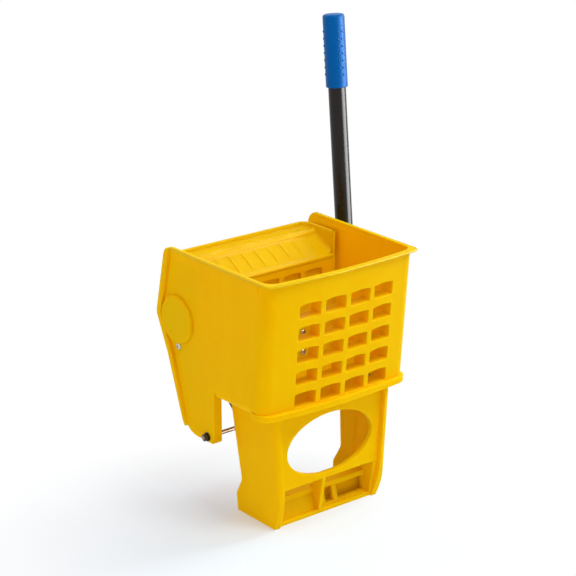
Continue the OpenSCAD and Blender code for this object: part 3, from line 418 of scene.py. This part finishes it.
fastened = node_tree("fastened", Piece="Object", Finish="Material")
w = Wire(fastened)
shape = w.add("GeometryNodeObjectInfo", out="Geometry", Object=w.add("NodeGroupInput", out="Piece"))
heading = w.add("GeometryNodeInputNamedAttribute", {"data_type": "FLOAT_VECTOR"}, Name="heading")
turn = w.add("FunctionNodeAlignRotationToVector", {"axis": "Z"}, Vector=heading)
seated = w.add("GeometryNodeInstanceOnPoints", Points=w.add("NodeGroupInput", out="Geometry"),
               Instance=shape, Rotation=turn)
real = w.add("GeometryNodeRealizeInstances", Geometry=seated)
w.add("NodeGroupOutput", Geometry=w.add("GeometryNodeSetMaterial", Geometry=real,
                                        Material=w.add("NodeGroupInput", out="Finish")))


def repeated(shape_mesh, seats, finish, crease=35):
    """One mesh of a shape set at each seat, a pair of place and heading, with its Z along the heading."""
    shape_mesh.shade_smooth()
    shape_mesh.set_sharp_from_angle(angle=math.radians(crease))
    pattern = bpy.data.objects.new("pattern", shape_mesh)
    scene.collection.objects.link(pattern)
    points = bpy.data.meshes.new("seats")
    points.from_pydata([place for place, heading in seats], [], [])
    headings = points.attributes.new("heading", "FLOAT_VECTOR", "POINT")
    for i, (place, heading) in enumerate(seats):
        headings.data[i].vector = heading
    made = grown(fastened, points, Piece=pattern, Finish=finish)
    bpy.data.objects.remove(pattern)
    return made


def pan_screw(shank, length, head, head_height):
    """A pan head screw with a cross recess: the head's seat lies at Z 0 and the shank hangs below."""
    half, top = head / 2, head_height
    blank = lathe([(0, -length), (shank * 0.2, -length), (shank / 2, -length + shank * 0.6), (shank / 2, 0),
                   (half * 0.97, 0), (half, top * 0.1), (half, top * 0.3), (half * 0.93, top * 0.55),
                   (half * 0.74, top * 0.82), (half * 0.45, top * 0.97), (half * 0.2, top), (0, top)], 32)
    arm, slot_half = half * 0.56, half * 0.11
    for x, y in ((arm, slot_half), (slot_half, arm)):
        blade = prism([(-x, -y), (x, -y), (x, y), (-x, y)], top * 0.3, top * 1.2, 0.6)
        blank = carved(blank, blade, "DIFFERENCE")
    return blank


plated = metal("zinc_plating", (0.63, 0.61, 0.57), 0.26, (900, 900, 900), 0.0002)
screw, head, head_height = 0.005, 0.010, 0.0028
stand_screw_length, ear_screw_length = 0.027, 0.0125
up, right, front = Vector((0, 0, 1)), Vector((1, 0, 0)), Vector((0, -1, 0))
floor_top = 0.180
stand_seats = [(Vector((x, y, floor_top)), up) for x in (-0.082, 0.082) for y in (0, 0.058)]
stand_screw = pan_screw(screw, stand_screw_length, head, head_height)
carried("stand_screws_cross_headed", repeated(stand_screw, stand_seats, plated),
        "frame", "steel", "stand_screws")
wall_outside, ear_screw_y, ear_screw_z = 0.127, 0.154, 0.227
ear_seats = [(Vector((side * wall_outside, ear_screw_y, ear_screw_z)), side * right) for side in (-1, 1)]
ear_screw = pan_screw(screw, ear_screw_length, head, head_height)
carried("bush_screws_cross_headed", repeated(ear_screw, ear_seats, plated),
        "frame", "steel", "bush_screws")
plate_face, sector_x, sector_heights = 0.111, 0.0582, (0.187, 0.217)
sector_seats = []
for x in (-sector_x, sector_x):
    sector_seats += [(Vector((x, plate_face, z)), front) for z in sector_heights]
sector_screw = pan_screw(0.004, 0.018, 0.008, head_height)
carried("sector_screws_cross_headed", repeated(sector_screw, sector_seats, plated),
        "press", "steel", "sector_screws")


# Nuts: chamfered hexagon nuts. Two dark ones, whose dark steel is painted shade for the recesses they sit
# in, clamp the ends of the tie rod against the wings, and two that are zinc plated like the screws hold the
# bushes' ears from the inside.
def hexagon(thread, height, bore):
    """A hexagon nut, or a bolt's head where the bore is 0, with the chamfers of a turned blank."""
    corner = thread * 1.65 / math.sqrt(3)
    face = corner * 0.84
    chamfer = (corner - face) * 0.62
    outline = [(corner * math.cos(math.pi / 3 * i), corner * math.sin(math.pi / 3 * i)) for i in range(6)]
    wide = corner * 1.02
    blank = lathe([(0, 0), (face, 0), (wide, chamfer), (wide, height - chamfer), (face, height),
                   (0, height)], 48)
    blank = carved(prism(outline, -0.001, height + 0.001), blank, "INTERSECT")
    if bore:
        flare = bore + thread * 0.07
        step = thread * 0.07
        drill = lathe([(0, -0.002), (flare + 0.002, -0.002), (bore, step), (bore, height - step),
                       (flare + 0.002, height + 0.002), (0, height + 0.002)], 32)
        blank = carved(blank, drill, "DIFFERENCE")
    return blank


# Dark steel: painted shade for the recesses that the tie rod's nuts and washers sit in.
recess_shade_steel = metal("blackened_steel", (0.06, 0.057, 0.055), 0.3, (900, 900, 900), 0.0002)
rod_y, rod_z, rod_thread = 0.091, 0.113, 0.006
washer_height, nut_crease = 0.0015, 20
nut_seat = wall_outside + washer_height
rod_seats = [(Vector((side * nut_seat, rod_y, rod_z)), side * right) for side in (-1, 1)]
rod_nut = hexagon(rod_thread, 0.0048, rod_thread / 2)
carried("tie_rod_nuts_chamfered", repeated(rod_nut, rod_seats, recess_shade_steel, crease=nut_crease),
        "frame", "steel", "tie_rod_nuts")
ear_inside = 0.1195
ear_nut_seats = [(Vector((side * ear_inside, ear_screw_y, ear_screw_z)), -side * right) for side in (-1, 1)]
ear_nut = hexagon(screw, 0.004, screw / 2)
carried("bush_nuts_chamfered", repeated(ear_nut, ear_nut_seats, plated, crease=nut_crease),
        "frame", "steel", "bush_nuts")


# Tie rod, axle, washers and clips: a steel rod across the wings, dark and brownish as painted shade for the
# recesses at its ends, plain washers under its nuts, dark as painted shade too, and push-on clips that keep
# the sectors' hubs in place. The lever's axle is bright drawn metal, and its pins and washers are zinc
# plated like the screws.
draw_lines = (15, 1400, 1400)
drawn_rod = metal("drawn_rod", (0.66, 0.65, 0.63), 0.24, draw_lines, 0.0003)
dress(drawn_rod, "axle")
# Dark brownish steel: painted shade for the recesses at the rod's ends.
dull_rod = metal("dull_rod", (0.36, 0.26, 0.18), 0.36, draw_lines, 0.0003)
dress(dull_rod, "tie_rod")
dress(recess_shade_steel, "tie_rod_washers")
dress(plated, "rod_clips", "gear_pins", "hub_pin", "axle_washers", "hub_washer")
spring_metal = metal("spring_wire", (0.4, 0.4, 0.41), 0.3, (500, 500, 500), 0.0002, (0.3, 0.25, 0.2))
dress(spring_metal, "axle_circlips")


# Return springs: round spring wire wound on the tie rod beside each sector. The foot bears on the floor's
# rear edge, and the arm bears on the sector's peg.
wire_radius, coil_radius, coil_pitch = 0.0011, 0.008, 0.003
coil_end_x = 0.0472
arm_angle = math.radians(73.26)
coil_first, coil_last = math.pi, arm_angle - math.pi / 2 + 10 * math.pi
coil_start_x = coil_end_x - coil_pitch * (coil_last - coil_first) / (2 * math.pi)
foot_y, foot_z = 0.0774, floor_top - 0.001
arm_length = 0.046


def spring_route():
    """The right spring's wire: foot, coil and arm."""
    points = []
    steps = 160
    for i in range(steps + 1):
        angle = coil_first + (coil_last - coil_first) * i / steps
        x = coil_start_x + (coil_end_x - coil_start_x) * i / steps
        y = rod_y + coil_radius * math.cos(angle)
        points.append(Vector((x, y, rod_z + coil_radius * math.sin(angle))))
    foot = Vector((coil_start_x, foot_y, foot_z))
    rise = [points[0].lerp(foot, i / 12) for i in range(12, 0, -1)]
    along_arm = Vector((0, math.cos(arm_angle), math.sin(arm_angle)))
    reach = [points[-1] + along_arm * arm_length * i / 10 for i in range(1, 11)]
    return rise + points + reach


for side, name in ((-1, "left_return_spring"), (1, "right_return_spring")):
    wound = [Vector((side * p.x, p.y, p.z)) for p in spring_route()]
    coil = grown(drawn, polyline(wound), Radius=wire_radius, Sides=12, Finish=spring_metal)
    spring = piece(name + "_wire", coil)
    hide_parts(name)
    coil_start = (side * coil_start_x, rod_y, rod_z)
    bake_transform(spring)


# Bushes, gears, sectors and the lever's hub: hard black nylon filled with glass, and pale acetal in the
# sectors' pivots. Two gears on the axle turn the sectors on the back of the plate.
nylon = moulded("black_nylon", (0.03, 0.03, 0.032), (0.02, 0.02, 0.022), 0.5, 0.0006)
dress(nylon, "left_axle_bush", "right_axle_bush", "left_drive_gear", "right_drive_gear",
      "left_gear_sector", "right_gear_sector", "lever_hub")
acetal = moulded("pale_acetal", (0.72, 0.68, 0.56), (0.68, 0.64, 0.52), 0.42, 0.0004)
dress(acetal, "left_pivot_bush", "right_pivot_bush")


# Lever: a tube with a gloss black coat, which leans back a little from the socket of its hub. A hexagon
# bolt and its nut hold the two together.
def coated(name, colour, rough, edge):
    """Gloss black coat: a slight orange peel, dust and rubbed scuffs."""
    made = bpy.data.materials.new(name)
    made.use_nodes = True
    body = made.node_tree.nodes["Principled BSDF"]
    w = Wire(made.node_tree)
    place = w.add("ShaderNodeTexCoord", out="Object")
    peel = w.add("ShaderNodeTexNoise", n0=place, Scale=420, Detail=1, Roughness=0.4)
    rub_place = w.add("ShaderNodeMapping", n0=place, Scale=(60, 60, 9))
    rubs = w.add("ShaderNodeTexNoise", n0=rub_place, Scale=1, Detail=6, Roughness=0.7)
    dust = w.add("ShaderNodeTexNoise", n0=place, Scale=900, Detail=2, Roughness=0.7)
    round_edge = w.add("ShaderNodeBevel", {"samples": 4}, Radius=edge)
    pale = tuple(c * 1.8 + 0.01 for c in colour)
    wear = rubs.clipped(0.5, 0.75) * 0.5 + dust.clipped(0.66, 0.8) * 0.3
    wear.mixed((*colour, 1), (*pale, 1)).feed(body, "Base Color")
    gloss = rough + rubs.clipped(0.5, 0.8) * 0.08 + dust.clipped(0.62, 0.8) * 0.1
    gloss.feed(body, "Roughness")
    skin = w.add("ShaderNodeBump", Strength=0.02, Distance=0.0002, Height=peel, Normal=round_edge)
    skin.feed(body, "Normal")
    body.inputs["Specular IOR Level"].default_value = 0.25
    return made


dress(coated("gloss_black_coat", (0.008, 0.006, 0.0045), 0.24, 0.0003), "lever_tube")
axle_place = Vector((0, 0.154, 0.2665))
lever_lean = math.radians(5.2)
lever_up = Vector((0, math.sin(lever_lean), math.cos(lever_lean)))
lever_foot = axle_place + Vector((0.175, 0, 0))
bolt_thread, bolt_up, bolt_seat = 0.006, 0.046, 0.0187
bolt_length, bolt_tip, bolt_root = 0.0434, 0.0006, 0.0005
bolt_centre = lever_foot + lever_up * bolt_up
bolt_head = hexagon(bolt_thread, 0.00384, 0)
shank = lathe([(0, -bolt_length), (bolt_thread / 2 - bolt_tip, -bolt_length),
               (bolt_thread / 2, bolt_tip - bolt_length), (bolt_thread / 2, bolt_root), (0, bolt_root)], 32)
bolt_work = bmesh.new()
bolt_work.from_mesh(bolt_head)
bolt_work.from_mesh(shank)
bolt_work.to_mesh(bolt_head)
bolt_work.free()
head_seats = [(bolt_centre + bolt_seat * right, right)]
carried("lever_bolt_hexagon", repeated(bolt_head, head_seats, plated, crease=nut_crease),
        "lever", "steel", "lever_bolt")
lever_nut = hexagon(bolt_thread, 0.0048, bolt_thread / 2)
lever_nut_seats = [(bolt_centre - bolt_seat * right, -right)]
carried("lever_nut_chamfered", repeated(lever_nut, lever_nut_seats, plated, crease=nut_crease),
        "lever", "steel", "lever_nut")


# Grip: a soft blue sleeve pushed on the tube's end, with a domed end and three double columns of small nubs
# that give the hand a hold.
def rubber(name, colour, deep):
    """Soft matt rubber: fine grain, a bloom of dust and a faint sheen at the edges."""
    made = moulded(name, colour, deep, 0.42, 0.0008, 0.3)
    body = made.node_tree.nodes["Principled BSDF"]
    body.inputs["Sheen Weight"].default_value = 0.03
    body.inputs["Sheen Roughness"].default_value = 0.4
    return made


blue = rubber("blue_rubber", (0.0005, 0.105, 0.36), (0.0005, 0.09, 0.31))
lever_length, grip_length, grip_radius, sleeve_bore = 0.380, 0.104, 0.01575, 0.01273
grip_low = lever_length - grip_length
end_wall, ring_step, soft_crease = 0.0051, 0.00015, 50
bore_end = lever_length - end_wall
sleeve_radius = grip_radius - ring_step
grip_mouth = [(0, bore_end), (sleeve_bore, bore_end), (sleeve_bore, grip_low), (0.0148, grip_low),
              (0.0155, grip_low + 0.0003), (grip_radius, grip_low + 0.001),
              (grip_radius, grip_low + 0.0025)]
grip_end = [(0.0153, lever_length - 0.0028), (0.0145, lever_length - 0.0015),
            (0.0125, lever_length - 0.0006), (0.008, lever_length - 0.0001), (0, lever_length)]
grip_sides = [(sleeve_radius, grip_low + 0.0032), (sleeve_radius, lever_length - 0.0045)]
sleeve = lathe(grip_mouth + grip_sides + grip_end, 64)
lever_frame = Matrix.Translation(lever_foot) @ Matrix.Rotation(-lever_lean, 4, "X")
nub_rows, nub_first, nub_pitch, nub_depth = 7, grip_low + 0.0184, 0.0102, 0.0154
first_pair, pair_step, pair_spread = -100, 120, 12
pair_angles = []
for k in range(3):
    pair_angles += [math.radians(first_pair + pair_step * k + half) for half in (-pair_spread, pair_spread)]
nub_seats = []
for row in range(nub_rows):
    for angle in pair_angles:
        outward = Vector((math.cos(angle), math.sin(angle), 0))
        seat = outward * nub_depth + Vector((0, 0, nub_first + nub_pitch * row))
        nub_seats.append((seat, outward))
dome = lathe([(0, -0.0008), (0.00135, -0.0008), (0.0013, 0.0002), (0.00105, 0.0008), (0.0006, 0.0012),
              (0, 0.00135)], 14)
nubs = repeated(dome, nub_seats, blue)
grip_work = bmesh.new()
grip_work.from_mesh(sleeve)
grip_work.from_mesh(nubs)
bmesh.ops.transform(grip_work, matrix=lever_frame, verts=grip_work.verts)
grip_mesh = bpy.data.meshes.new("nubbed_grip")
grip_work.to_mesh(grip_mesh)
grip_work.free()
grip_mesh.shade_smooth()
grip_mesh.set_sharp_from_angle(angle=math.radians(soft_crease))
grip_mesh.materials.append(blue)
carried("nubbed_grip", grip_mesh, "lever", "grip_rubber", "lever_grip")


# Press plate: a yellow moulding with a row of blind windows below and a funnel on top. The funnel's inside
# is one smooth polished skin in a darker copy of the yellow, whose darker colour is painted shade: a round
# nose, a ribbed slope, a bead, a trough and a rolled rim.
plate_half, funnel_wall, funnel_back, funnel_top = 0.116, 0.003, 0.178, 0.354
corner_inset = 0.013
flat_half = plate_half - funnel_wall - corner_inset
flat_back = funnel_back - funnel_wall - corner_inset
rib_pitch, rib_height, rib_width, rib_fade, ribs_each_side = 0.0226, 0.0021, 0.0016, 0.004, 4
nose_foot, nose_centre, nose_radius, nose_gap = (0.1114, 0.3143), (0.1132, 0.3192), 0.003, 0.0003
nose_end, bead_centre, bead_round = (0.1165, 0.3231), (0.1545, 0.3436), 0.0049
slope_start, slope_end = (0.119, 0.3239), (0.1495, 0.3412)
band_start, band_rise = (0.1597, 0.3447), 0.003
roll_radius, rim_level = 0.00175, funnel_top - 0.0004
least_fillet, most_fillet, fillet_share = 0.0004, 0.008, 0.75
tuck_in, tuck_down = 0.0005, 0.0035


def bend(centre, radius, first, last, count):
    """Points on an arc in Y and Z, angles in degrees."""
    turns = [math.radians(first + (last - first) * i / count) for i in range(count + 1)]
    return [(centre[0] + radius * math.cos(t), centre[1] + radius * math.sin(t)) for t in turns]


def band_height(y):
    """Height of the trough that climbs a little from the bead to the rear wall."""
    share = max(0, (y - band_start[0]) / (funnel_back - funnel_wall - band_start[0]))
    return band_start[1] + band_rise * share ** 1.3


def rib_lift(x, y):
    """Height of the slope's ribs at a point."""
    if not slope_start[0] <= y <= slope_end[0]:
        return 0
    fade = min(1, (y - slope_start[0]) / rib_fade, (slope_end[0] - y) / rib_fade)
    nearest = max(-ribs_each_side, min(ribs_each_side, round(x / rib_pitch))) * rib_pitch
    return rib_height * fade * math.exp(-((x - nearest) / rib_width) ** 2)


def wall_section(place, outward, level):
    """Floor, fillet, wall and rolled rim, from a point of the flat part outwards; level gives the floor."""
    rise = max(least_fillet, min(most_fillet, fillet_share * (rim_level - level(corner_inset))))
    wall = corner_inset - roll_radius + funnel_wall / 2
    steps = [(0, 0), ((wall - rise) / 2, 0)]
    for i in range(7):
        turn = math.radians(15 * i)
        steps.append((wall - rise + rise * math.sin(turn), rise * (1 - math.cos(turn))))
    points = [(away, level(away) + lift) for away, lift in steps]
    points += bend((corner_inset + funnel_wall / 2, rim_level), roll_radius, 180, -10, 9)
    points.append((corner_inset + funnel_wall - tuck_in, rim_level - tuck_down))
    return [(place[0] + away * outward[0], place[1] + away * outward[1], z) for away, z in points]


def sheet(work, rows):
    """Faces between rows of points of equal length."""
    corners = [[work.verts.new(p) for p in row] for row in rows]
    for lower, upper in zip(corners, corners[1:]):
        for i in range(len(lower) - 1):
            work.faces.new((lower[i], lower[i + 1], upper[i + 1], upper[i]))


nose = [nose_foot] + bend(nose_centre, nose_radius, 190, 80, 9)
slope = [tuple(a + (b - a) * i / 8 for a, b in zip(slope_start, slope_end)) for i in range(9)]
bead = bend(bead_centre, bead_round, 170, 13, 12)
floor_line = [nose[-1], nose_end] + slope + bead + [(flat_back, band_height(flat_back))]
column_steps, turn_steps, weld = 240, 8, 2e-6
columns = [-flat_half + 2 * flat_half * i / column_steps for i in range(column_steps + 1)]
nose_ends = [-plate_half + funnel_wall + nose_gap, *columns, plate_half - funnel_wall - nose_gap]
skin = bmesh.new()
sheet(skin, [[(x, y, z) for x in nose_ends] for y, z in nose])
sheet(skin, [[(x, y, z + rib_lift(x, y)) for x in columns] for y, z in floor_line])
around = []
for y, z in floor_line:
    around.append(wall_section((flat_half, y), (1, 0), lambda away, z=z: z))
for i in range(1, turn_steps + 1):
    turn = math.radians(90 * i / turn_steps)
    along_y = math.sin(turn)
    around.append(wall_section((flat_half, flat_back), (math.cos(turn), along_y),
                               lambda away, part=along_y: band_height(flat_back + away * part)))
rear = []
for x in columns[-2:0:-1]:
    rear.append(wall_section((x, flat_back), (0, 1), lambda away: band_height(flat_back + away)))
mirrored = [[(-x, y, z) for x, y, z in row] for row in reversed(around)]
sheet(skin, around + rear + mirrored)
bmesh.ops.remove_doubles(skin, verts=skin.verts, dist=weld)
bmesh.ops.recalc_face_normals(skin, faces=skin.faces)
if sum(face.normal.z * face.calc_area() for face in skin.faces) < 0:
    bmesh.ops.reverse_faces(skin, faces=skin.faces)
skin_mesh = bpy.data.meshes.new("funnel_skin")
skin.to_mesh(skin_mesh)
skin.free()
skin_mesh.shade_smooth()
skin_mesh.materials.append(shaded_polished_yellow)
dress(yellow, "press_plate")
carried("funnel_skin", skin_mesh, "press", "yellow_plastic")
